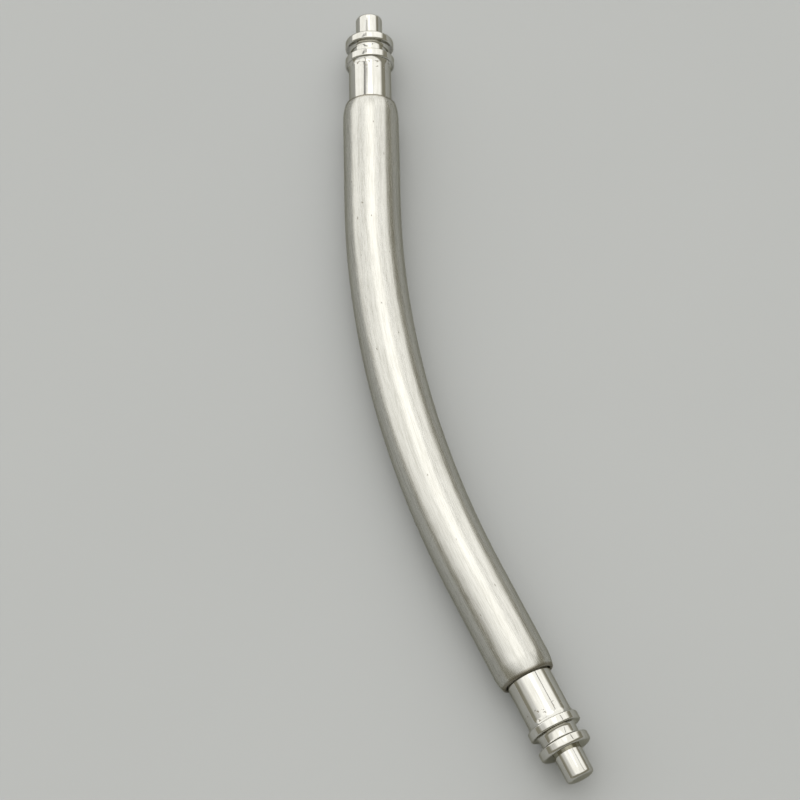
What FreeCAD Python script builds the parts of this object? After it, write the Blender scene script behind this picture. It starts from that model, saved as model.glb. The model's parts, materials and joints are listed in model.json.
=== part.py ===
"""Curved spring bar with double shoulders, lying on its side.

Millimetres and degrees. X runs along the bar from end to end, Y points to the outside of the bend,
and Z points up from the surface that the tube lies on. The origin is the middle of the footprint.
Each end of the bar also has a frame of its own: its origin is the middle of the tube's mouth, and its
X axis is the end's own axis, pointing out of the mouth.
"""
import FreeCAD, Part
import math
import os

Vector = FreeCAD.Vector

# Tube
TUBE_DIAMETER = 1.80
TUBE_WALL = 0.13
BEND_RADIUS = 30.0
BEND_ANGLE = 25.0
STRAIGHT_END_LENGTH = 3.55

# Rolled mouth of the tube
ROLL_LENGTH = 0.54
LIP_THICKNESS = 0.11
MOUTH_LAND_LENGTH = 0.16
MOUTH_TAPER_LENGTH = 0.14

# Fits between plunger and tube, on the radius
HEAD_CLEARANCE = 0.02
MOUTH_CLEARANCE = 0.03
RETAINING_STEP = 0.06

# Travel of a plunger, until the foot of its inner shoulder reaches the mouth, and the gap that its
# head keeps from the outer stop
PLUNGER_TRAVEL = 1.30
STOP_GAP = 0.03

# Inner shoulder: the stem flares out to its foot, where it steps up to a round-edged ring
INNER_SHOULDER_DIAMETER = 1.60
INNER_SHOULDER_WIDTH = 0.28
INNER_EDGE_ROUNDING = 0.05
FLARE_LENGTH = 0.17
FLARE_RISE = 0.045

# Neck between the shoulders, which it meets in fillets
NECK_DIAMETER = 1.18
NECK_LENGTH = 0.38
NECK_FILLET = 0.10

# Outer shoulder, a disc whose rim is rounder towards the pin
OUTER_SHOULDER_DIAMETER = 1.58
OUTER_SHOULDER_WIDTH = 0.30
OUTER_BACK_ROUNDING = 0.05
OUTER_FRONT_ROUNDING = 0.09

# Pin that enters the hole in the lug
PIN_DIAMETER = 0.86
PIN_LENGTH = 0.88
PIN_END_ROUNDING = 0.10

# Retaining head inside the tube, with the nose that centres the spring
HEAD_LENGTH = 1.00
HEAD_CHAMFER = 0.06
NOSE_LENGTH = 0.45
NOSE_CLEARANCE = 0.04
NOSE_ROUNDING = 0.10

# Coil spring in the bent bore
WIRE_DIAMETER = 0.20
SPRING_CLEARANCE = 0.09
SPRING_TURNS = 27
SPRING_SEAT_GAP = 0.02
STEPS_PER_TURN = 4

# How many points of each edge measure the footprint, when the origin is put in its middle
POINTS_PER_EDGE = 9

# Sizes that follow from those above
TUBE_RADIUS = TUBE_DIAMETER / 2
BORE_RADIUS = TUBE_RADIUS - TUBE_WALL
HEAD_RADIUS = BORE_RADIUS - HEAD_CLEARANCE
STEM_RADIUS = HEAD_RADIUS - RETAINING_STEP
MOUTH_RADIUS = STEM_RADIUS + MOUTH_CLEARANCE
COIL_RADIUS = BORE_RADIUS - SPRING_CLEARANCE - WIRE_DIAMETER / 2
NOSE_RADIUS = COIL_RADIUS - WIRE_DIAMETER / 2 - NOSE_CLEARANCE
HALF_BEND = math.radians(BEND_ANGLE / 2)
HALF_ARC_LENGTH = BEND_RADIUS * HALF_BEND
HALF_TUBE_LENGTH = HALF_ARC_LENGTH + STRAIGHT_END_LENGTH

# Where the plunger's head meets the taper behind the mouth, in the frame of an end
TAPER_SLOPE = (BORE_RADIUS - MOUTH_RADIUS) / MOUTH_TAPER_LENGTH
HEAD_CONTACT = -(MOUTH_LAND_LENGTH + (HEAD_RADIUS - MOUTH_RADIUS) / TAPER_SLOPE)
HEAD_FRONT = HEAD_CONTACT - STOP_GAP
HEAD_BACK = HEAD_FRONT - HEAD_LENGTH


def on_centreline(distance):
    """The point at a distance from the middle of the bar along its centreline, and the way it runs."""
    within_arc = max(-HALF_ARC_LENGTH, min(HALF_ARC_LENGTH, distance))
    turned = within_arc / BEND_RADIUS
    along = Vector(math.cos(turned), -math.sin(turned), 0)
    point = Vector(math.sin(turned), math.cos(turned) - 1, 0) * BEND_RADIUS
    return point + along * (distance - within_arc), along


def end_placement(side):
    """The frame of an end: side is 1 for the right end and -1 for the left one."""
    mouth, along = on_centreline(side * HALF_TUBE_LENGTH)
    outwards = along * side
    turn = FreeCAD.Rotation(Vector(0, 0, 1), math.degrees(math.atan2(outwards.y, outwards.x)))
    return FreeCAD.Placement(mouth, turn)


class Profile:
    """Half of a turned section in the XY plane, drawn point by point, with X as the turning axis."""

    def __init__(self, along, radius):
        self.start = Vector(along, radius, 0)
        self.last = self.start
        self.edges = []

    def line(self, along, radius):
        """Draw a straight edge to a point."""
        self._line_to(Vector(along, radius, 0))

    def arc(self, through, to):
        """Draw an arc through one point to another, each given as (along, radius)."""
        end = Vector(*to, 0)
        self.edges.append(Part.Arc(self.last, Vector(*through, 0), end).toShape())
        self.last = end

    def round(self, corner, to, rounding):
        """Draw to a corner and on towards a point, with the corner rounded, and stop where it ends."""
        corner = Vector(*corner, 0)
        back = (self.last - corner).normalize()
        onward = (Vector(*to, 0) - corner).normalize()
        half_angle = back.getAngle(onward) / 2
        setback = rounding / math.tan(half_angle)
        bisector = (back + onward).normalize()
        middle = corner + bisector * (rounding / math.sin(half_angle) - rounding)
        end = corner + onward * setback
        self._line_to(corner + back * setback)
        self.edges.append(Part.Arc(self.last, middle, end).toShape())
        self.last = end

    def turned(self):
        """Close the section and turn it into a solid."""
        self._line_to(self.start)
        face = Part.Face(Part.Wire(self.edges))
        return face.revolve(Vector(0, 0, 0), Vector(1, 0, 0), 360)

    def _line_to(self, point):
        if point.distanceToPoint(self.last) > 1e-7:
            self.edges.append(Part.LineSegment(self.last, point).toShape())
            self.last = point


def mouth_profile():
    """The section of a straight end of the tube in the frame of its end, with the mouth rolled in."""
    lip = LIP_THICKNESS / 2
    lip_centre = Vector(-lip, MOUTH_RADIUS + lip, 0)
    # The roll is an arc that leaves the tube smoothly and runs smoothly into the round lip
    run = ROLL_LENGTH - lip
    drop = TUBE_RADIUS - lip_centre.y
    roll = (run**2 + drop**2 - lip**2) / (2 * (drop - lip))
    roll_centre = Vector(-ROLL_LENGTH, TUBE_RADIUS - roll, 0)
    towards_lip = (lip_centre - roll_centre).normalize()
    roll_end = roll_centre + towards_lip * roll
    swept = Vector(0, 1, 0).getAngle(towards_lip) / 2
    roll_middle = roll_centre + Vector(math.sin(swept), math.cos(swept), 0) * roll
    profile = Profile(-STRAIGHT_END_LENGTH, BORE_RADIUS)
    profile.line(-STRAIGHT_END_LENGTH, TUBE_RADIUS)
    profile.line(-ROLL_LENGTH, TUBE_RADIUS)
    profile.arc((roll_middle.x, roll_middle.y), (roll_end.x, roll_end.y))
    profile.arc((0, lip_centre.y), (-lip, MOUTH_RADIUS))
    profile.line(-MOUTH_LAND_LENGTH, MOUTH_RADIUS)
    profile.line(-MOUTH_LAND_LENGTH - MOUTH_TAPER_LENGTH, BORE_RADIUS)
    return profile


def bent_middle():
    """The bent stretch of the tube, a ring turned about the centre of the bend."""
    start, along = on_centreline(-HALF_ARC_LENGTH)
    outline = Part.Wire(Part.Circle(start, along, TUBE_RADIUS).toShape())
    bore = Part.Wire(Part.Circle(start, along, BORE_RADIUS).toShape())
    ring = Part.Face([outline, bore])
    return ring.revolve(Vector(0, -BEND_RADIUS, 0), Vector(0, 0, -1), BEND_ANGLE)


def make_tube():
    """The whole tube: a bent middle and two rolled ends, joined into one solid."""
    ends = []
    for side in (-1, 1):
        end = mouth_profile().turned()
        end.Placement = end_placement(side)
        ends.append(end)
    joined = bent_middle().multiFuse(ends).removeSplitter()
    return joined.Solids[0]


def plunger_profile():
    """The turned section of a plunger in the frame of its end, from the nose out to the pin."""
    ring_start = PLUNGER_TRAVEL + FLARE_LENGTH
    ring_end = ring_start + INNER_SHOULDER_WIDTH
    disc_start = ring_end + NECK_LENGTH
    disc_end = disc_start + OUTER_SHOULDER_WIDTH
    pin_end = disc_end + PIN_LENGTH
    nose_end = HEAD_BACK - NOSE_LENGTH
    ring_radius = INNER_SHOULDER_DIAMETER / 2
    neck_radius = NECK_DIAMETER / 2
    disc_radius = OUTER_SHOULDER_DIAMETER / 2
    pin_radius = PIN_DIAMETER / 2

    profile = Profile(nose_end, 0)
    profile.round((nose_end, NOSE_RADIUS), (HEAD_BACK, NOSE_RADIUS), NOSE_ROUNDING)
    profile.line(HEAD_BACK, NOSE_RADIUS)
    profile.line(HEAD_BACK, HEAD_RADIUS - HEAD_CHAMFER)
    profile.line(HEAD_BACK + HEAD_CHAMFER, HEAD_RADIUS)
    profile.line(HEAD_FRONT, HEAD_RADIUS)
    profile.line(HEAD_FRONT + RETAINING_STEP, STEM_RADIUS)
    profile.line(PLUNGER_TRAVEL, STEM_RADIUS)
    # The flare is an arc that leaves the stem smoothly
    flare = (FLARE_LENGTH**2 + FLARE_RISE**2) / (2 * FLARE_RISE)
    swept = math.asin(FLARE_LENGTH / flare) / 2
    flare_middle = PLUNGER_TRAVEL + flare * math.sin(swept), STEM_RADIUS + flare * (1 - math.cos(swept))
    profile.arc(flare_middle, (ring_start, STEM_RADIUS + FLARE_RISE))
    profile.round((ring_start, ring_radius), (ring_end, ring_radius), INNER_EDGE_ROUNDING)
    profile.round((ring_end, ring_radius), (ring_end, neck_radius), INNER_EDGE_ROUNDING)
    profile.round((ring_end, neck_radius), (disc_start, neck_radius), NECK_FILLET)
    profile.round((disc_start, neck_radius), (disc_start, disc_radius), NECK_FILLET)
    profile.round((disc_start, disc_radius), (disc_end, disc_radius), OUTER_BACK_ROUNDING)
    profile.round((disc_end, disc_radius), (disc_end, pin_radius), OUTER_FRONT_ROUNDING)
    profile.line(disc_end, pin_radius)
    profile.round((pin_end, pin_radius), (pin_end, 0), PIN_END_ROUNDING)
    profile.line(pin_end, 0)
    return profile


def make_plunger(side):
    """One plunger at its outer stop: pin, two shoulders, stem and retaining head in one piece."""
    plunger = plunger_profile().turned()
    plunger.Placement = end_placement(side)
    return plunger


def on_coil(distance, first, pitch):
    """A point of the spring's wire, and the wire's direction there."""
    centre, along = on_centreline(distance)
    outwards = Vector(-along.y, along.x, 0)
    turned = 2 * math.pi * (distance - first) / pitch
    radial = outwards * math.cos(turned) + Vector(0, 0, 1) * math.sin(turned)
    sideways = Vector(0, 0, 1) * math.cos(turned) - outwards * math.sin(turned)
    # Round the bend the coils spread a little on the outside and close up on the inside
    on_arc = abs(distance) < HALF_ARC_LENGTH
    spread = 1 + (COIL_RADIUS * math.cos(turned) / BEND_RADIUS if on_arc else 0)
    direction = along * spread + sideways * (2 * math.pi * COIL_RADIUS / pitch)
    return centre + radial * COIL_RADIUS, direction.normalize()


def arc_from(start, heading, end):
    """The arc that leaves a point along a heading and ends at another point."""
    chord = end - start
    across = heading - chord * (heading.dot(chord) / chord.dot(chord))
    sagitta = chord.Length / 2 * math.tan(heading.getAngle(chord) / 2)
    middle = start + chord / 2 + across.normalize() * sagitta
    return Part.Arc(start, middle, end).toShape()


def biarc(start, start_heading, end, end_heading):
    """Two arcs that join two points smoothly, with the headings given there."""
    gap = end - start
    both = start_heading + end_heading
    spread = 2 * (1 - start_heading.dot(end_heading))
    projected = gap.dot(both)
    reach = (math.sqrt(projected**2 + spread * gap.dot(gap)) - projected) / spread
    joint = (start + end + (start_heading - end_heading) * reach) / 2
    first = arc_from(start, start_heading, joint)
    second = arc_from(end, end_heading * -1, joint)
    return [first, second]


def least_gap_between_turns(first, pitch):
    """The least clear distance from the wire to its next turn, measured on points."""
    steps = 24
    count = SPRING_TURNS * steps
    points = [on_coil(first + pitch * k / steps, first, pitch)[0] for k in range(count + 1)]
    near = [
        points[k].distanceToPoint(points[other])
        for k in range(count - steps // 2)
        for other in range(k + steps // 2, min(count, k + steps * 3 // 2) + 1)
    ]
    return min(near) - WIRE_DIAMETER


def make_spring():
    """The compression spring: one unbroken coil between the two heads, along the bent bore."""
    last = HALF_TUBE_LENGTH + HEAD_BACK - SPRING_SEAT_GAP - WIRE_DIAMETER / 2
    first = -last
    pitch = (last - first) / SPRING_TURNS
    stations = SPRING_TURNS * STEPS_PER_TURN
    spots = [on_coil(first + (last - first) * k / stations, first, pitch) for k in range(stations + 1)]
    edges = []
    for (start, start_heading), (end, end_heading) in zip(spots, spots[1:]):
        edges += biarc(start, start_heading, end, end_heading)
    path = Part.Wire(edges)
    start, heading = spots[0]
    section = Part.Wire(Part.Circle(start, heading, WIRE_DIAMETER / 2).toShape())
    spring = path.makePipeShell([section], True, False)
    expected = path.Length * math.pi * WIRE_DIAMETER**2 / 4
    print(f"spring pitch {pitch:.4f}, wire length {path.Length:.3f}")
    print(f"spring volume over section times length {spring.Volume / expected:.5f}")
    print(f"spring least gap between turns {least_gap_between_turns(first, pitch):.4f}")
    return spring


def footprint_middle():
    """The point of the surface below the middle of the whole bar."""
    mouth, outwards = on_centreline(HALF_TUBE_LENGTH)
    edges = mouth_profile().edges + plunger_profile().edges
    outline = [point for edge in edges for point in edge.discretize(POINTS_PER_EDGE)]
    inner_side = [point.x * outwards.y - point.y * outwards.x for point in outline]
    return Vector(0, (TUBE_RADIUS + mouth.y + min(inner_side)) / 2, -TUBE_RADIUS)


def main():
    """Make the four pieces, put the origin in the middle of the footprint, and write each piece."""
    pieces = {
        "tube": make_tube(),
        "left_plunger": make_plunger(-1),
        "right_plunger": make_plunger(1),
        "spring": make_spring(),
    }
    middle = footprint_middle()
    os.makedirs("parts", exist_ok=True)
    for name, solid in pieces.items():
        solid.translate(middle * -1)
        solid.exportStep(f"parts/{name}.step")
        print(f"{name}: valid {solid.isValid()}, solids {len(solid.Solids)}, volume {solid.Volume:.4f}")
    for side, name in ((-1, "left"), (1, "right")):
        frame = end_placement(side)
        outwards = frame.Rotation.multVec(Vector(1, 0, 0))
        mouth = frame.Base - middle
        print(f"{name} mouth {tuple(mouth)}, outwards {tuple(outwards)}")


main()
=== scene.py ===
"""Curved spring bar with double shoulders: its finished pieces, a plain floor, soft light and a camera.

Each piece is modelled straight, in millimetres, with the bar's length along X and its axis through the
origin. It is then laid on the bent centreline and brought to metres, as a real bar is bent from a straight
one. Every point remembers its straight place in an attribute, so that the brushing follows the bend.
"""

import json
import logging
import math
from dataclasses import dataclass, field
from enum import Enum
from typing import Any, Iterable, Optional, Union

import bmesh
import bpy
import numpy as np
from mathutils import Matrix, Vector


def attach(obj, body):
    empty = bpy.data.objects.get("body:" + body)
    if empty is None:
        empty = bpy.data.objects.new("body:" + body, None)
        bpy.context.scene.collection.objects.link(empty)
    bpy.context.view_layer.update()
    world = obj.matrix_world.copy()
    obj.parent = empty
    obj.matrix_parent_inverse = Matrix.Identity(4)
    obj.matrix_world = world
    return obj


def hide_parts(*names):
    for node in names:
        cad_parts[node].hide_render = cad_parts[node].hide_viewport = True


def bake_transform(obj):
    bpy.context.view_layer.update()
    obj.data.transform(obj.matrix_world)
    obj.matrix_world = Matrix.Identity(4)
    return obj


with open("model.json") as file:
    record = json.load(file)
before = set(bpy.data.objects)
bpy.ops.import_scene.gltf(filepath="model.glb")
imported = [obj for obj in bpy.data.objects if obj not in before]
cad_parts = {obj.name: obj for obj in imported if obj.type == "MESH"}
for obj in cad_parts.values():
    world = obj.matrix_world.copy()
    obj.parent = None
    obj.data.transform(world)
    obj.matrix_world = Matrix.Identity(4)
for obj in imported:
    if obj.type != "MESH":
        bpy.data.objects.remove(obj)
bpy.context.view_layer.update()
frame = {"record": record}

LOG = logging.getLogger("spring_bar")
MM = 0.001
STRAIGHT_PLACE = "straight_place_mm"

Colour = tuple[float, float, float]
Number = Union[float, "Signal"]

# Painted shade: how much darker steel reflects near its edges, as a share of its colour; it stands in for
# the shadowed floor that the sides of the bar reflect.
PAINTED_EDGE_SHADE_TINT: Colour = (0.60, 0.59, 0.51)

# Distances in millimetres below which rings, and points, count as the same.
SAME = 1e-4
MERGE = 1e-5

# Numbers of the Mix node's colour sockets.
MIX_SHARE = 0
MIX_FIRST = 6
MIX_SECOND = 7
MIX_RESULT = 2


class Side(Enum):
    """The two ends of the bar, by the way along X that they point."""

    LEFT = -1
    RIGHT = 1

    @property
    def word(self) -> str:
        """The end's name in plain words."""
        return self.name.lower()

    @property
    def body(self) -> str:
        """The body that this end's plunger belongs to."""
        return f"{self.word}_end"


class Slot(Enum):
    """The record's material slots."""

    TUBE = "tube"
    PLUNGER = "plunger"
    SPRING = "spring"


class Signal:
    """A value in a finish's node tree, which Python's operators combine into more nodes."""

    def __init__(self, tree: "FinishTree", socket: bpy.types.NodeSocket) -> None:
        """Wraps a socket of a tree."""
        self.tree = tree
        self.socket = socket

    def _math(self, operation: str, *values: Number, clamp: bool = False) -> "Signal":
        """Adds one Math node.

        Args:
            operation: The node's operation.
            values: What goes into its sockets, in order.
            clamp: Whether the result is held between 0 and 1.

        Returns:
            The node's result.
        """
        settings = {"operation": operation, "use_clamp": clamp}
        return self.tree.node("ShaderNodeMath", settings, dict(enumerate(values)))

    def __add__(self, other: Number) -> "Signal":
        """Sum."""
        return self._math("ADD", self, other)

    __radd__ = __add__

    def __sub__(self, other: Number) -> "Signal":
        """Difference."""
        return self._math("SUBTRACT", self, other)

    def __rsub__(self, other: Number) -> "Signal":
        """Difference from a number."""
        return self._math("SUBTRACT", other, self)

    def __mul__(self, other: Number) -> "Signal":
        """Product."""
        return self._math("MULTIPLY", self, other)

    __rmul__ = __mul__

    def __truediv__(self, other: Number) -> "Signal":
        """Quotient."""
        return self._math("DIVIDE", self, other)

    def __abs__(self) -> "Signal":
        """Size without its sign."""
        return self._math("ABSOLUTE", self)

    def rises(self, low: float, high: float) -> "Signal":
        """A smooth step from 0 at low to 1 at high, or down from 1 where low is the larger number.

        Args:
            low: Where the step starts.
            high: Where it ends.

        Returns:
            The step, between 0 and 1.
        """
        share = (self - low) / (high - low)
        held = share._math("ADD", share, 0.0, clamp=True)
        return held * held * (3.0 - 2.0 * held)


class FinishTree:
    """The node tree of one finish, or of the world."""

    def __init__(self, tree: bpy.types.NodeTree) -> None:
        """Empties a tree, ready for new nodes."""
        self.tree = tree
        self.tree.nodes.clear()

    def node(
        self,
        kind: str,
        settings: Optional[dict[str, Any]] = None,
        sockets: Optional[dict[Any, Any]] = None,
        output: Union[int, str] = 0,
    ) -> Signal:
        """Adds a node, sets it and feeds its sockets.

        Args:
            kind: The node's type.
            settings: Its properties, set first. A ramp's stops are a list of place and colour.
            sockets: What each input gets, by name or number: a Signal is linked, and anything else is set.
            output: The output that is handed back.

        Returns:
            One output of the node.
        """
        made = self.tree.nodes.new(kind)
        for name, value in (settings or {}).items():
            setattr(made, name, value)
        for name, value in (sockets or {}).items():
            if isinstance(value, Signal):
                self.tree.links.new(value.socket, made.inputs[name])
            else:
                made.inputs[name].default_value = value
        return Signal(self, made.outputs[output])

    def along(self, way: Signal, axis: tuple[float, float, float]) -> Signal:
        """How far a direction points along an axis.

        Args:
            way: The direction.
            axis: The axis, of length 1.

        Returns:
            Their dot product, between -1 and 1.
        """
        settings = {"operation": "DOT_PRODUCT"}
        return self.node("ShaderNodeVectorMath", settings, {0: way, 1: axis}, "Value")

    def length(self, vector: Signal) -> Signal:
        """The length of a vector."""
        return self.node("ShaderNodeVectorMath", {"operation": "LENGTH"}, {0: vector}, "Value")

    def straight_place(self) -> Signal:
        """A point's place on the straight bar, in millimetres."""
        return self.node("ShaderNodeAttribute", {"attribute_name": STRAIGHT_PLACE}, output="Vector")

    def parts_of(self, vector: Signal) -> tuple[Signal, Signal, Signal]:
        """The three numbers of a vector."""
        outputs = self.node("ShaderNodeSeparateXYZ", sockets={"Vector": vector}).socket.node.outputs
        return Signal(self, outputs["X"]), Signal(self, outputs["Y"]), Signal(self, outputs["Z"])

    def vector(self, x: Number, y: Number, z: Number) -> Signal:
        """A vector from three numbers."""
        return self.node("ShaderNodeCombineXYZ", sockets={"X": x, "Y": y, "Z": z})

    def noise(self, place: Signal, scale: float, detail: float = 2.0, roughness: float = 0.5) -> Signal:
        """Soft noise.

        Args:
            place: Where it is read.
            scale: How fine it is.
            detail: How many finer layers it has.
            roughness: How strong those layers are.

        Returns:
            The noise, about 0.5.
        """
        sockets = {"Vector": place, "Scale": scale, "Detail": detail, "Roughness": roughness}
        return self.node("ShaderNodeTexNoise", {"noise_dimensions": "3D"}, sockets)

    def mix(self, share: Number, first: Any, second: Any) -> Signal:
        """Mixes two colours.

        Args:
            share: 0 for the first colour and 1 for the second.
            first: A colour or a signal.
            second: A colour or a signal.

        Returns:
            The mixed colour.
        """
        colours = [c if isinstance(c, Signal) else (*c, 1.0) for c in (first, second)]
        sockets = {MIX_SHARE: share, MIX_FIRST: colours[0], MIX_SECOND: colours[1]}
        return self.node("ShaderNodeMix", {"data_type": "RGBA", "clamp_factor": True}, sockets, MIX_RESULT)

    def bump(self, height: Signal, depth: float) -> Signal:
        """A bumped normal.

        Args:
            height: The relief, from 0 to 1.
            depth: How high 1 stands, in millimetres.

        Returns:
            The normal.
        """
        sockets = {"Strength": 1.0, "Distance": depth * MM, "Height": height}
        return self.node("ShaderNodeBump", sockets=sockets)

    def metal(self, colour: Signal, roughness: Signal, normal: Signal) -> None:
        """Ends the tree in a bare metal, with painted shade at its edges.

        Args:
            colour: What it reflects head on.
            roughness: How it blurs what it reflects.
            normal: Its bumped normal.
        """
        sockets = {
            "Base Color": colour,
            "Metallic": 1.0,
            "Roughness": roughness,
            # Painted shade: the edge tint darkens what the metal reflects at its sides.
            "Specular Tint": (*PAINTED_EDGE_SHADE_TINT, 1.0),
            "Normal": normal,
        }
        shader = self.node("ShaderNodeBsdfPrincipled", sockets=sockets)
        self.node_output(shader)

    def node_output(self, shader: Signal) -> None:
        """Links a shader to the material's output."""
        output = self.tree.nodes.new("ShaderNodeOutputMaterial")
        self.tree.links.new(shader.socket, output.inputs["Surface"])


def new_finish(name: str) -> tuple[bpy.types.Material, FinishTree]:
    """Adds an empty material.

    Args:
        name: The finish in plain words.

    Returns:
        The material and its tree.
    """
    material = bpy.data.materials.new(name)
    material.use_nodes = True
    return material, FinishTree(material.node_tree)


@dataclass(frozen=True)
class SatinTubeFinish:
    """Stainless steel, brushed along its length to a satin sheen, and dull inside the bore, with painted
    shade darkening the lip at each mouth.
    """

    pale: Colour = (0.54, 0.533, 0.50)
    dull: Colour = (0.42, 0.412, 0.378)
    bore_colour: Colour = (0.33, 0.31, 0.27)
    pit_and_painted_lip_shade_colour: Colour = (0.22, 0.20, 0.16)
    gloss: float = 0.265
    gloss_change: float = 0.19
    bore_roughness: float = 0.5
    bore_edge: float = 0.80
    bore_blur: float = 0.02
    streak_stretch: float = 0.05
    fine_scale: float = 46.0
    broad_scale: float = 9.0
    broad_share: float = 0.40
    broad_relief: float = 0.8
    brushed_edge: tuple[float, float] = (0.33, 0.61)
    streak_depth: float = 0.0013
    ripple_stretch: float = 0.35
    ripple_scale: float = 3.2
    ripple_depth: float = 0.0045
    cloud_scale: float = 0.8
    cloud_change: float = 0.10
    pit_stretch: float = 0.45
    pit_scale: float = 9.0
    pit_edge: tuple[float, float] = (0.76, 0.79)
    pit_depth: float = 0.003
    pit_shade: float = 0.75
    pit_roughness: float = 0.2
    # Painted shade on the rolled lip: where it starts and where it is full before each mouth, and how far
    # it darkens.
    painted_lip_shade_edge: tuple[float, float] = (-0.13, -0.05)
    painted_lip_shade_share: float = 0.85

    def material(self, mouth_place: float) -> bpy.types.Material:
        """The finish as a material.

        Args:
            mouth_place: How far along the bar its mouths lie from its middle, in millimetres.

        Returns:
            The material.
        """
        material, tree = new_finish("satin_brushed_steel")
        place = tree.straight_place()
        x, y, z = tree.parts_of(place)
        stretched = tree.vector(x * self.streak_stretch, y, z)
        fine = tree.noise(stretched, self.fine_scale, detail=3.0, roughness=0.6)
        broad = tree.noise(stretched, self.broad_scale, detail=2.0)
        cloudy = tree.noise(place, self.cloud_scale, detail=2.0)
        ripple = tree.noise(tree.vector(x * self.ripple_stretch, y, z), self.ripple_scale, detail=2.0)
        pitted = tree.noise(tree.vector(x * self.pit_stretch, y, z), self.pit_scale, detail=1.0)
        pit = pitted.rises(*self.pit_edge)
        across = tree.length(tree.vector(0.0, y, z))
        bore = across.rises(self.bore_edge, self.bore_edge - self.bore_blur)
        brushed = self.broad_share * broad + (1.0 - self.broad_share) * fine
        colour = tree.mix(brushed.rises(*self.brushed_edge), self.dull, self.pale)
        colour = tree.mix(pit * self.pit_shade, colour, self.pit_and_painted_lip_shade_colour)
        # Painted shade: the tube is darkened towards the pit colour over its last 0.13 mm before each
        # mouth, where the gap to the plunger lies in shadow.
        lip = (abs(x) - mouth_place).rises(*self.painted_lip_shade_edge)
        colour = tree.mix(lip * self.painted_lip_shade_share, colour, self.pit_and_painted_lip_shade_colour)
        colour = tree.mix(bore, colour, self.bore_colour)
        roughness = self.gloss + self.gloss_change * (fine - 0.5) + self.cloud_change * (cloudy - 0.5)
        roughness = roughness + pit * self.pit_roughness + bore * (self.bore_roughness - self.gloss)
        relief = fine + self.broad_relief * broad + ripple * (self.ripple_depth / self.streak_depth)
        relief = relief - pit * (self.pit_depth / self.streak_depth)
        tree.metal(colour, roughness, tree.bump(relief, self.streak_depth))
        return material


@dataclass(frozen=True)
class PolishedPlungerFinish:
    """Stainless steel, turned and then polished, with fine tool lines and small nicks at the shoulders."""

    bright: Colour = (0.57, 0.563, 0.53)
    dull: Colour = (0.51, 0.50, 0.46)
    nick_colour: Colour = (0.25, 0.22, 0.17)
    gloss: float = 0.055
    gloss_change: float = 0.05
    line_squeeze: float = 0.04
    line_scale: float = 26.0
    line_depth: float = 0.00018
    rub_stretch: float = 0.12
    rub_scale: float = 16.0
    rub_relief: float = 0.5
    smudge_scale: float = 1.6
    smudged_edge: tuple[float, float] = (0.35, 0.62)
    nick_scale: float = 11.0
    nick_edge: tuple[float, float] = (0.66, 0.69)
    nick_depth: float = 0.006
    nick_shade: float = 0.85
    nick_roughness: float = 0.25
    nicked_from: tuple[float, float] = (0.97, 1.12)
    nicked_to: tuple[float, float] = (1.55, 1.45)

    def material(self, mouth_place: float) -> bpy.types.Material:
        """The finish as a material.

        Args:
            mouth_place: How far along the bar its mouths lie from its middle, in millimetres.

        Returns:
            The material.
        """
        material, tree = new_finish("polished_turned_steel")
        place = tree.straight_place()
        x, y, z = tree.parts_of(place)
        squeezed = tree.vector(x, y * self.line_squeeze, z * self.line_squeeze)
        lines = tree.noise(squeezed, self.line_scale, detail=2.0)
        rubbed = tree.noise(tree.vector(x * self.rub_stretch, y, z), self.rub_scale, detail=2.0)
        smudge = tree.noise(place, self.smudge_scale, detail=3.0)
        nicked = tree.noise(place, self.nick_scale, detail=2.0)
        past_mouth = abs(x) - mouth_place
        near_shoulder = past_mouth.rises(*self.nicked_from) * past_mouth.rises(*self.nicked_to)
        nick = nicked.rises(*self.nick_edge) * near_shoulder
        clean = (0.5 * smudge + 0.5 * rubbed).rises(*self.smudged_edge)
        colour = tree.mix(clean, self.dull, self.bright)
        colour = tree.mix(nick * self.nick_shade, colour, self.nick_colour)
        roughness = self.gloss + self.gloss_change * (smudge - 0.5) + nick * self.nick_roughness
        relief = lines + self.rub_relief * rubbed - nick * (self.nick_depth / self.line_depth)
        tree.metal(colour, roughness, tree.bump(relief, self.line_depth))
        return material


@dataclass(frozen=True)
class DrawnWireFinish:
    """Drawn spring wire, grey, with a thin film of oil and fine lines along it."""

    pale: Colour = (0.56, 0.55, 0.52)
    dark: Colour = (0.38, 0.36, 0.32)
    gloss: float = 0.26
    gloss_change: float = 0.16
    line_squeeze: float = 0.15
    line_scale: float = 30.0
    line_depth: float = 0.0008
    line_share: float = 0.4
    oil_scale: float = 2.2
    oiled_edge: tuple[float, float] = (0.36, 0.64)

    def material(self) -> bpy.types.Material:
        """The finish as a material."""
        material, tree = new_finish("drawn_spring_wire")
        place = tree.straight_place()
        x, y, z = tree.parts_of(place)
        squeezed = tree.vector(x, y * self.line_squeeze, z * self.line_squeeze)
        drawn = tree.noise(squeezed, self.line_scale, detail=2.0)
        oiled = tree.noise(place, self.oil_scale, detail=3.0)
        clean = (self.line_share * drawn + (1.0 - self.line_share) * oiled).rises(*self.oiled_edge)
        colour = tree.mix(clean, self.dark, self.pale)
        roughness = self.gloss + self.gloss_change * (oiled - 0.5)
        tree.metal(colour, roughness, tree.bump(drawn, self.line_depth))
        return material


@dataclass(frozen=True)
class FloorFinish:
    """A plain pale matt floor."""

    colour: Colour = (0.44, 0.45, 0.453)
    shade: Colour = (0.41, 0.42, 0.423)
    roughness: float = 0.85
    mottle_scale: float = 60.0

    def material(self) -> bpy.types.Material:
        """The finish as a material."""
        material, tree = new_finish("plain_matt_floor")
        place = tree.node("ShaderNodeTexCoord", output="Object")
        mottled = tree.noise(place, self.mottle_scale, detail=4.0)
        colour = tree.mix(mottled, self.shade, self.colour)
        sockets = {"Base Color": colour, "Roughness": self.roughness}
        tree.node_output(tree.node("ShaderNodeBsdfPrincipled", sockets=sockets))
        return material


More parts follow.
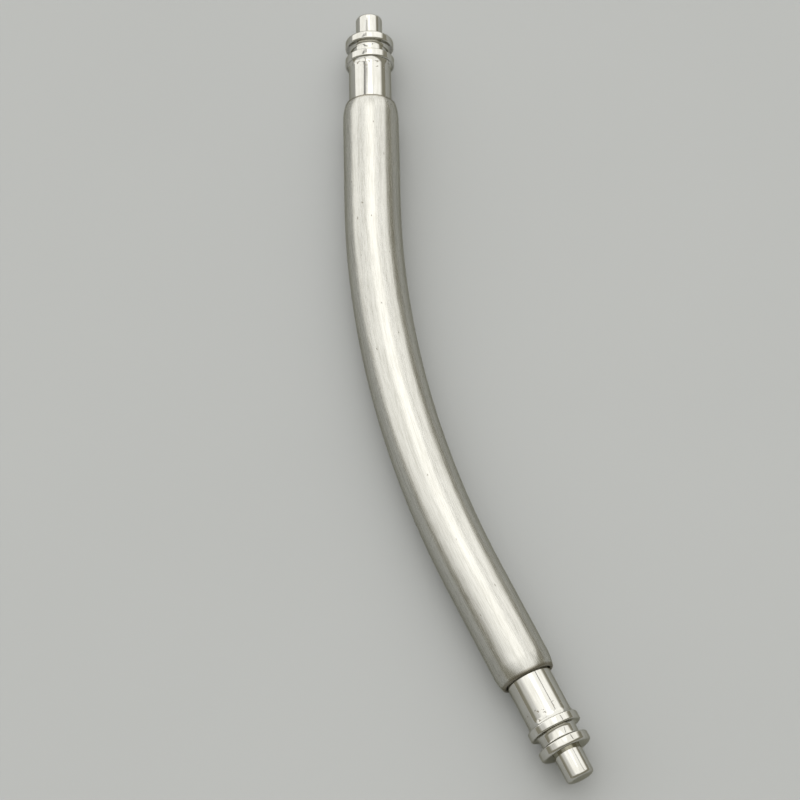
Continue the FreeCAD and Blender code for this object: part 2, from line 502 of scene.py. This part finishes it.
@dataclass(frozen=True)
class BarLine:
    """The bar's centreline: a straight end, an even bend and another straight end, in millimetres."""

    bend_radius: float = 30.0
    bend_angle: float = 25.0
    straight_end: float = 3.55
    tube_radius: float = 0.90
    seat_from_mouth: float = 1.90

    @property
    def half_arc(self) -> float:
        """Half the length of the bend."""
        return self.bend_radius * math.radians(self.bend_angle / 2)

    @property
    def mouth_place(self) -> float:
        """How far along the bar its mouths lie from its middle."""
        return self.half_arc + self.straight_end

    @property
    def crown(self) -> np.ndarray:
        """The middle of the centreline, from where the record puts the right-hand seat on the tube."""
        mounts = {mount["name"]: mount for mount in frame["record"]["mounts"]}
        seat = np.array(mounts["right_tube_seat"]["pos_m"]) / MM
        return seat - self.from_crown(np.array([[self.mouth_place - self.seat_from_mouth, 0.0, 0.0]]))[0]

    def from_crown(self, points: np.ndarray) -> np.ndarray:
        """Bends points of the straight bar, with the middle of the centreline left at the origin.

        Args:
            points: Places on the straight bar, one in each row.

        Returns:
            Their places on the bent bar, from the middle of its centreline.
        """
        along, out, up = points.T
        within = np.clip(along, -self.half_arc, self.half_arc)
        turned = within / self.bend_radius
        beyond = along - within
        x = np.sin(turned) * (self.bend_radius + out) + np.cos(turned) * beyond
        y = (np.cos(turned) - 1) * self.bend_radius + np.cos(turned) * out - np.sin(turned) * beyond
        return np.stack([x, y, up], axis=1)

    def lay(self, points: np.ndarray) -> np.ndarray:
        """Moves points of the straight bar onto the bent one.

        Args:
            points: Places on the straight bar, one in each row.

        Returns:
            Their places on the bent bar.
        """
        return self.from_crown(points) + self.crown

    def place(self, along: float) -> Vector:
        """A point of the centreline on the bent bar, in metres."""
        return Vector(self.lay(np.array([[along, 0.0, 0.0]]))[0]) * MM


class Lathe:
    """A turned shape that grows ring by ring along X, in edit mode."""

    def __init__(self, name: str, along: float, radius: float, sides: int) -> None:
        """Puts the first ring in place.

        Args:
            name: The piece's name.
            along: Where the ring stands on the axis.
            radius: Its radius.
            sides: How many edges every ring has.
        """
        bpy.ops.object.select_all(action="DESELECT")
        quarter = math.radians(90)
        bpy.ops.mesh.primitive_circle_add(
            vertices=sides, radius=radius, location=(along, 0, 0), rotation=(0, quarter, 0)
        )
        bpy.ops.object.transform_apply(location=True, rotation=True, scale=True)
        self.obj = bpy.context.object
        self.obj.name = name
        self.along = along
        self.radius = radius
        self.first = (along, radius)
        bpy.ops.object.mode_set(mode="EDIT")
        bpy.ops.mesh.select_mode(type="EDGE")
        bpy.ops.mesh.select_all(action="SELECT")

    def to(self, along: float, radius: float) -> "Lathe":
        """Extrudes the last ring to a new place and size.

        Args:
            along: Where the new ring stands.
            radius: Its radius.

        Returns:
            The lathe, for the next cut.
        """
        bpy.ops.mesh.extrude_region_move(TRANSFORM_OT_translate={"value": (along - self.along, 0, 0)})
        if radius != self.radius:
            factor = radius / self.radius
            bpy.ops.transform.resize(value=(factor, factor, factor), center_override=(along, 0, 0))
        self.along, self.radius = along, radius
        return self

    def evenly_to(self, along: float, steps: int) -> "Lathe":
        """Extrudes the last ring straight on, in even steps.

        Args:
            along: Where the last of the new rings stands.
            steps: How many rings there are.

        Returns:
            The lathe, for the next cut.
        """
        start = self.along
        for step in range(1, steps + 1):
            self.to(start + (along - start) * step / steps, self.radius)
        return self

    def arc_to(
        self, centre: tuple[float, float], radius: float, start: float, end: float, steps: int
    ) -> "Lathe":
        """Follows an arc of the section.

        Args:
            centre: The arc's centre, as place along the axis and distance from it.
            radius: The arc's own radius.
            start: The angle from the X axis where it starts, in radians.
            end: The angle where it ends.
            steps: How many rings the arc adds.

        Returns:
            The lathe, for the next cut.
        """
        for step in range(1, steps + 1):
            angle = start + (end - start) * step / steps
            self.to(centre[0] + radius * math.cos(angle), centre[1] + radius * math.sin(angle))
        return self

    def close(self) -> "Lathe":
        """Ends the shape in a flat face with a closed pole."""
        self.to(self.along, self.radius / 2)
        bpy.ops.mesh.extrude_region_move(TRANSFORM_OT_translate={"value": (0, 0, 0)})
        bpy.ops.mesh.merge(type="CENTER")
        return self

    def back_to_first(self) -> None:
        """Picks the first ring again, so that the shape can grow on from there."""
        self.along, self.radius = self.first
        self.pick_rings([self.first])

    def pick_rings(self, places: Iterable[tuple[float, float]]) -> None:
        """Selects the rings that stand at some places along the axis, each with its radius.

        Args:
            places: Place along the axis and radius of each ring.
        """
        bpy.ops.mesh.select_all(action="DESELECT")
        shape = bmesh.from_edit_mesh(self.obj.data)
        wanted = list(places)
        for edge in shape.edges:
            ends = [(v.co.x, math.hypot(v.co.y, v.co.z)) for v in edge.verts]
            on_a_ring = any(all(abs(a - x) + abs(r - ring) < SAME for a, r in ends) for x, ring in wanted)
            edge.select_set(on_a_ring)
        bmesh.update_edit_mesh(self.obj.data)

    def round(self, places: Iterable[tuple[float, float]], setback: float, steps: int) -> None:
        """Rounds the corners at some rings.

        Args:
            places: Place along the axis and radius of each ring.
            setback: How far from the corner the rounding starts.
            steps: How many faces it has across.
        """
        self.pick_rings(places)
        bpy.ops.mesh.bevel(offset=setback, segments=steps, profile=0.5, affect="EDGES")

    def done(self) -> bpy.types.Object:
        """Leaves edit mode with merged doubles and outward faces, and hands back the object."""
        bpy.ops.mesh.select_all(action="SELECT")
        bpy.ops.mesh.remove_doubles(threshold=MERGE)
        bpy.ops.mesh.normals_make_consistent(inside=False)
        bpy.ops.object.mode_set(mode="OBJECT")
        return self.obj


def apply_modifier(obj: bpy.types.Object, kind: str, **settings: Any) -> None:
    """Adds a modifier to the active piece, sets it and applies it.

    Args:
        obj: The piece.
        kind: The modifier's type.
        settings: Its properties.
    """
    modifier = obj.modifiers.new(kind.lower(), kind)
    for name, value in settings.items():
        setattr(modifier, name, value)
    bpy.context.view_layer.objects.active = obj
    bpy.ops.object.modifier_apply(modifier=modifier.name)


def finish_piece(
    obj: bpy.types.Object, line: BarLine, material: bpy.types.Material, crease: float = 30.0
) -> None:
    """Shades a straight piece, notes its straight place, lays it on the bar and dresses it.

    Args:
        obj: The piece, modelled straight in millimetres.
        line: The centreline that it is laid on.
        material: Its finish.
        crease: Edges sharper than this many degrees stay crisp.
    """
    bpy.ops.object.select_all(action="DESELECT")
    obj.select_set(True)
    bpy.context.view_layer.objects.active = obj
    bpy.ops.object.shade_smooth_by_angle(angle=math.radians(crease))
    apply_modifier(obj, "WEIGHTED_NORMAL", keep_sharp=True, weight=100)
    mesh = obj.data
    straight = np.zeros(len(mesh.vertices) * 3)
    mesh.vertices.foreach_get("co", straight)
    note = mesh.attributes.new(STRAIGHT_PLACE, "FLOAT_VECTOR", "POINT")
    note.data.foreach_set("vector", straight.astype(np.float32))
    bent = line.lay(straight.reshape(-1, 3)) * MM
    mesh.vertices.foreach_set("co", bent.astype(np.float32).ravel())
    mesh.update()
    mesh.materials.clear()
    mesh.materials.append(material)


def report(obj: bpy.types.Object, what: str) -> None:
    """Logs a finished piece.

    Args:
        obj: The piece.
        what: What it is.
    """
    triangles = sum(len(p.vertices) - 2 for p in obj.data.polygons)
    LOG.info("%s: %s, %d triangles", obj.name, what, triangles)


@dataclass
class Tube:
    """The bent tube with its two rolled mouths, in millimetres."""

    line: BarLine
    wall: float = 0.13
    roll_length: float = 0.54
    lip_thickness: float = 0.11
    mouth_radius: float = 0.72
    land_length: float = 0.16
    taper_length: float = 0.14
    sides: int = 144
    bend_steps: int = 44
    roll_steps: int = 14
    lip_steps: int = 8
    finish: SatinTubeFinish = field(default_factory=SatinTubeFinish)

    def build(self) -> bpy.types.Object:
        """Models half the tube from its middle out and back along the bore, and mirrors it.

        Returns:
            The piece, riding on the barrel.
        """
        outer = self.line.tube_radius
        bore = outer - self.wall
        mouth = self.line.mouth_place
        lip = self.lip_thickness / 2
        run = self.roll_length - lip
        drop = outer - self.mouth_radius - lip
        roll = (run**2 + drop**2 - lip**2) / (2 * (drop - lip))
        lip_turn = math.atan2(self.mouth_radius + lip - (outer - roll), run)
        roll_centre = (mouth - self.roll_length, outer - roll)
        lip_centre = (mouth - lip, self.mouth_radius + lip)
        upright = math.pi / 2

        lathe = Lathe("bent_tube", 0.0, outer, self.sides)
        lathe.evenly_to(self.line.half_arc, self.bend_steps)
        lathe.evenly_to(mouth - self.roll_length, 3)
        lathe.arc_to(roll_centre, roll, upright, lip_turn, self.roll_steps)
        lathe.arc_to(lip_centre, lip, lip_turn, -upright, self.lip_steps)
        lathe.to(mouth - self.land_length, self.mouth_radius)
        lathe.to(mouth - self.land_length - self.taper_length, bore)
        lathe.evenly_to(self.line.half_arc, 3)
        lathe.evenly_to(0.0, self.bend_steps)
        tube = lathe.done()
        apply_modifier(tube, "MIRROR", use_axis=(True, False, False), merge_threshold=SAME)
        finish_piece(tube, self.line, self.finish.material(mouth))
        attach(tube, "barrel")
        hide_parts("tube")
        report(tube, "bent tube with rolled mouths")
        return tube


@dataclass
class Plunger:
    """A turned plunger: nose, head, stem, two shoulders and pin, in millimetres from the tube's mouth."""

    line: BarLine
    nose_end: float = -1.7243
    nose_radius: float = 0.44
    nose_rounding: float = 0.10
    head_back: float = -1.2743
    head_front: float = -0.2743
    head_radius: float = 0.75
    head_chamfer: float = 0.06
    stem_radius: float = 0.69
    stem_end: float = 1.30
    flare_length: float = 0.17
    flare_rise: float = 0.045
    ring_radius: float = 0.80
    ring_width: float = 0.28
    ring_rounding: float = 0.05
    neck_radius: float = 0.59
    neck_length: float = 0.38
    neck_fillet: float = 0.10
    disc_radius: float = 0.79
    disc_width: float = 0.30
    disc_back_rounding: float = 0.05
    disc_front_rounding: float = 0.09
    pin_radius: float = 0.43
    pin_length: float = 0.88
    pin_rounding: float = 0.10
    edge_break: float = 0.012
    sides: int = 144
    finish: PolishedPlungerFinish = field(default_factory=PolishedPlungerFinish)

    def turn(self) -> bpy.types.Object:
        """Turns one plunger along X, with the mouth at the origin.

        Returns:
            The straight piece.
        """
        ring_start = self.stem_end + self.flare_length
        ring_end = ring_start + self.ring_width
        disc_start = ring_end + self.neck_length
        disc_end = disc_start + self.disc_width
        pin_end = disc_end + self.pin_length
        flare = (self.flare_length**2 + self.flare_rise**2) / (2 * self.flare_rise)
        flare_turn = math.asin(self.flare_length / flare)
        upright = math.pi / 2

        lathe = Lathe("plunger", self.nose_end, self.nose_radius, self.sides).close()
        lathe.back_to_first()
        lathe.to(self.head_back, self.nose_radius)
        lathe.to(self.head_back, self.head_radius - self.head_chamfer)
        lathe.to(self.head_back + self.head_chamfer, self.head_radius)
        lathe.to(self.head_front, self.head_radius)
        lathe.to(self.head_front + self.head_radius - self.stem_radius, self.stem_radius)
        lathe.evenly_to(self.stem_end, 6)
        lathe.arc_to((self.stem_end, self.stem_radius + flare), flare, -upright, flare_turn - upright, 6)
        lathe.to(ring_start, self.ring_radius)
        lathe.to(ring_end, self.ring_radius)
        lathe.to(ring_end, self.neck_radius)
        lathe.evenly_to(disc_start, 2)
        lathe.to(disc_start, self.disc_radius)
        lathe.to(disc_end, self.disc_radius)
        lathe.to(disc_end, self.pin_radius)
        lathe.evenly_to(pin_end, 3)
        lathe.close()
        lathe.round([(self.nose_end, self.nose_radius)], self.nose_rounding, 5)
        lathe.round([(pin_end, self.pin_radius)], self.pin_rounding, 6)
        lathe.round([(ring_end, self.neck_radius), (disc_start, self.neck_radius)], self.neck_fillet, 6)
        lathe.round([(disc_start, self.disc_radius)], self.disc_back_rounding, 6)
        lathe.round([(disc_end, self.disc_radius)], self.disc_front_rounding, 8)
        lathe.round([(ring_start, self.ring_radius), (ring_end, self.ring_radius)], self.ring_rounding, 6)
        lathe.round(
            [
                (self.head_back, self.head_radius - self.head_chamfer),
                (self.head_back + self.head_chamfer, self.head_radius),
                (self.head_front, self.head_radius),
            ],
            self.edge_break,
            2,
        )
        return lathe.done()

    def build(self) -> list[bpy.types.Object]:
        """Turns the plunger once and sets a copy with its own mesh in each end.

        Returns:
            The two pieces, each riding on its own end.
        """
        material = self.finish.material(self.line.mouth_place)
        pattern = self.turn()
        pieces = []
        for side in Side:
            piece = pattern.copy()
            piece.data = pattern.data.copy()
            piece.name = f"{side.word}_turned_plunger"
            bpy.context.scene.collection.objects.link(piece)
            way = Matrix.Rotation(0.0 if side is Side.RIGHT else math.pi, 4, "Z")
            piece.data.transform(Matrix.Translation((side.value * self.line.mouth_place, 0, 0)) @ way)
            finish_piece(piece, self.line, material, crease=24.0)
            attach(piece, side.body)
            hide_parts(f"{side.word}_plunger")
            report(piece, "turned plunger with two shoulders and a pin")
            pieces.append(piece)
        bpy.data.objects.remove(pattern)
        return pieces


@dataclass
class Spring:
    """The compression spring in the bent bore, in millimetres."""

    line: BarLine
    wire_diameter: float = 0.20
    coil_radius: float = 0.58
    turns: int = 27
    end_place: float = 8.7007
    head_back: float = Plunger.head_back
    sides: int = 14
    steps_per_turn: int = 36
    finish: DrawnWireFinish = field(default_factory=DrawnWireFinish)

    def coil(self) -> bpy.types.Object:
        """Winds the whole spring along X.

        Returns:
            The straight piece, with closed ends.
        """
        pitch = 2 * self.end_place / self.turns
        slope = math.atan2(pitch, 2 * math.pi * self.coil_radius)
        bpy.ops.object.select_all(action="DESELECT")
        bpy.ops.mesh.primitive_circle_add(
            vertices=self.sides,
            radius=self.wire_diameter / 2,
            location=(-self.end_place, self.coil_radius, 0),
            rotation=(0, slope, 0),
        )
        bpy.ops.object.transform_apply(location=True, rotation=True, scale=True)
        coil = bpy.context.object
        coil.name = "spring_coil"
        apply_modifier(
            coil,
            "SCREW",
            axis="X",
            angle=2 * math.pi,
            screw_offset=pitch,
            iterations=self.turns,
            steps=self.steps_per_turn,
            render_steps=self.steps_per_turn,
            use_merge_vertices=False,
        )
        bpy.ops.object.mode_set(mode="EDIT")
        bpy.ops.mesh.select_mode(type="EDGE")
        bpy.ops.mesh.select_all(action="DESELECT")
        bpy.ops.mesh.select_non_manifold(extend=False)
        bpy.ops.mesh.edge_face_add()
        bpy.ops.mesh.select_all(action="SELECT")
        bpy.ops.mesh.remove_doubles(threshold=MERGE)
        bpy.ops.mesh.normals_make_consistent(inside=False)
        bpy.ops.object.mode_set(mode="OBJECT")
        return coil

    def build(self) -> list[bpy.types.Object]:
        """Winds the spring and cuts a copy to each half.

        Returns:
            The two halves of the coil.
        """
        material = self.finish.material()
        pattern = self.coil()
        pieces = []
        for side in Side:
            half = pattern.copy()
            half.data = pattern.data.copy()
            half.name = f"spring_{side.word}_half"
            bpy.context.scene.collection.objects.link(half)
            self.keep_half(half, side)
            finish_piece(half, self.line, material)
            head = side.value * (self.line.mouth_place + self.head_back)
            self.line.place(0.0)
            self.line.place(head)
            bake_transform(half)
            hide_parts("spring")
            report(half, "half of the one coil spring")
            pieces.append(half)
        bpy.data.objects.remove(pattern)
        return pieces

    def keep_half(self, half: bpy.types.Object, side: Side) -> None:
        """Cuts the coil across the middle of the bar and keeps one side, closed at the cut.

        Args:
            half: A copy of the whole coil.
            side: The side that stays.
        """
        bpy.ops.object.select_all(action="DESELECT")
        half.select_set(True)
        bpy.context.view_layer.objects.active = half
        bpy.ops.object.mode_set(mode="EDIT")
        bpy.ops.mesh.select_all(action="SELECT")
        bpy.ops.mesh.bisect(
            plane_co=(0, 0, 0),
            plane_no=(side.value, 0, 0),
            use_fill=True,
            clear_inner=True,
        )
        bpy.ops.object.mode_set(mode="OBJECT")


@dataclass(frozen=True)
class Studio:
    """The floor, the soft light and the camera. Lengths are in millimetres and angles in degrees."""

    floor_size: float = 3000.0
    target: tuple[float, float, float] = (-0.4, 1.002, 0.9)
    azimuth: float = 253.28
    elevation: float = 66.43
    roll: float = 3.22
    distance: float = 73.89
    lens: float = 107.73
    sensor: float = 36.0
    clip: tuple[float, float] = (1.0, 10000.0)
    horizon_colour: Colour = (0.35, 0.336, 0.27)
    sky_colour: Colour = (1.0, 0.995, 0.965)
    sky_strength: float = 1.58
    curtain_normal: tuple[float, float, float] = (-0.755, 0.624, 0.201)
    curtain_edge: tuple[float, float] = (0.45, 0.60)
    curtain_share: float = 0.42
    sky_tilt: tuple[float, float, float] = (0.61, 0.12, 0.783)
    sky_edge: tuple[float, float] = (0.30, 0.52)
    strip_normal: tuple[float, float, float] = (0.849, 0.455, -0.27)
    strip_edge: tuple[float, float] = (0.24, 0.072)
    strip_strength: float = 0.14
    gap_normal: tuple[float, float, float] = (0.802, -0.289, -0.523)
    gap_edge: tuple[float, float] = (0.0276, 0.0115)
    gap_depth: float = 0.8
    gap_break: float = -0.12
    gap_break_edge: tuple[float, float] = (0.17, 0.22)
    lamp_place: tuple[float, float, float] = (150.0, 10.0, 300.0)
    lamp_size: float = 220.0
    lamp_power: float = 0.06
    lamp_colour: Colour = (1.0, 0.985, 0.95)

    def floor(self) -> bpy.types.Object:
        """Lays the floor.

        Returns:
            The floor, which isn't part of the object.
        """
        bpy.ops.object.select_all(action="DESELECT")
        bpy.ops.mesh.primitive_plane_add(size=self.floor_size * MM)
        floor = bpy.context.object
        floor.name = "floor"
        floor.data.materials.append(FloorFinish().material())
        return floor

    def light(self) -> None:
        """Sets a soft bright sky over a dim horizon.

        The sky has a brighter strip, a dimmer part like a drawn curtain, and a narrow dark gap in two
        lengths.
        """
        world = bpy.data.worlds.new("soft_room")
        bpy.context.scene.world = world
        world.use_nodes = True
        tree = FinishTree(world.node_tree)
        way = tree.node("ShaderNodeTexCoord", output="Generated")
        _, sideways, _ = tree.parts_of(way)
        bright = tree.along(way, self.sky_tilt).rises(*self.sky_edge)
        strip = abs(tree.along(way, self.strip_normal)).rises(*self.strip_edge)
        curtain = tree.along(way, self.curtain_normal).rises(*self.curtain_edge)
        unbroken = abs(sideways - self.gap_break).rises(*self.gap_break_edge)
        gap = abs(tree.along(way, self.gap_normal)).rises(*self.gap_edge) * unbroken
        sky = (self.sky_strength + self.strip_strength * strip) * (1.0 - self.curtain_share * curtain)
        strength = sky * (1.0 - self.gap_depth * gap) * bright + (1.0 - bright)
        colour = tree.mix(bright, self.horizon_colour, self.sky_colour)
        background = tree.node("ShaderNodeBackground", sockets={"Color": colour, "Strength": strength})
        output = world.node_tree.nodes.new("ShaderNodeOutputWorld")
        world.node_tree.links.new(background.socket, output.inputs["Surface"])

    def lamp(self) -> None:
        """Hangs one large soft lamp high over the bar's right side, which gives the shadows their side."""
        bpy.ops.object.select_all(action="DESELECT")
        bpy.ops.object.light_add(type="AREA", location=Vector(self.lamp_place) * MM)
        lamp = bpy.context.object
        lamp.name = "soft_lamp"
        lamp.data.shape = "DISK"
        lamp.data.size = self.lamp_size * MM
        lamp.data.energy = self.lamp_power
        lamp.data.color = self.lamp_colour
        lamp.rotation_mode = "QUATERNION"
        lamp.rotation_quaternion = (-lamp.location).to_track_quat("-Z", "Y")

    def camera(self) -> None:
        """Puts the camera at the photograph's angle."""
        azimuth, elevation = math.radians(self.azimuth), math.radians(self.elevation)
        flat = math.cos(elevation)
        back = Vector((math.sin(azimuth) * flat, -math.cos(azimuth) * flat, math.sin(elevation)))
        bpy.ops.object.camera_add(location=(Vector(self.target) + back * self.distance) * MM)
        camera = bpy.context.object
        camera.name = "camera"
        turn = (-back).to_track_quat("-Z", "Y").to_matrix().to_4x4()
        turn = turn @ Matrix.Rotation(math.radians(self.roll), 4, "Z")
        camera.rotation_mode = "QUATERNION"
        camera.rotation_quaternion = turn.to_quaternion()
        camera.data.lens = self.lens
        camera.data.sensor_width = self.sensor
        camera.data.clip_start, camera.data.clip_end = (distance * MM for distance in self.clip)
        bpy.context.scene.camera = camera

    def build(self) -> None:
        """Sets up the floor, the light and the camera."""
        self.floor()
        self.light()
        self.lamp()
        self.camera()
        bpy.context.scene.view_settings.view_transform = "Standard"


def main() -> None:
    """Builds the bar's pieces and the studio."""
    logging.basicConfig(level=logging.INFO, format="%(message)s")
    line = BarLine()
    Tube(line).build()
    Plunger(line).build()
    Spring(line).build()
    Studio().build()


if __name__ == "__main__":
    main()
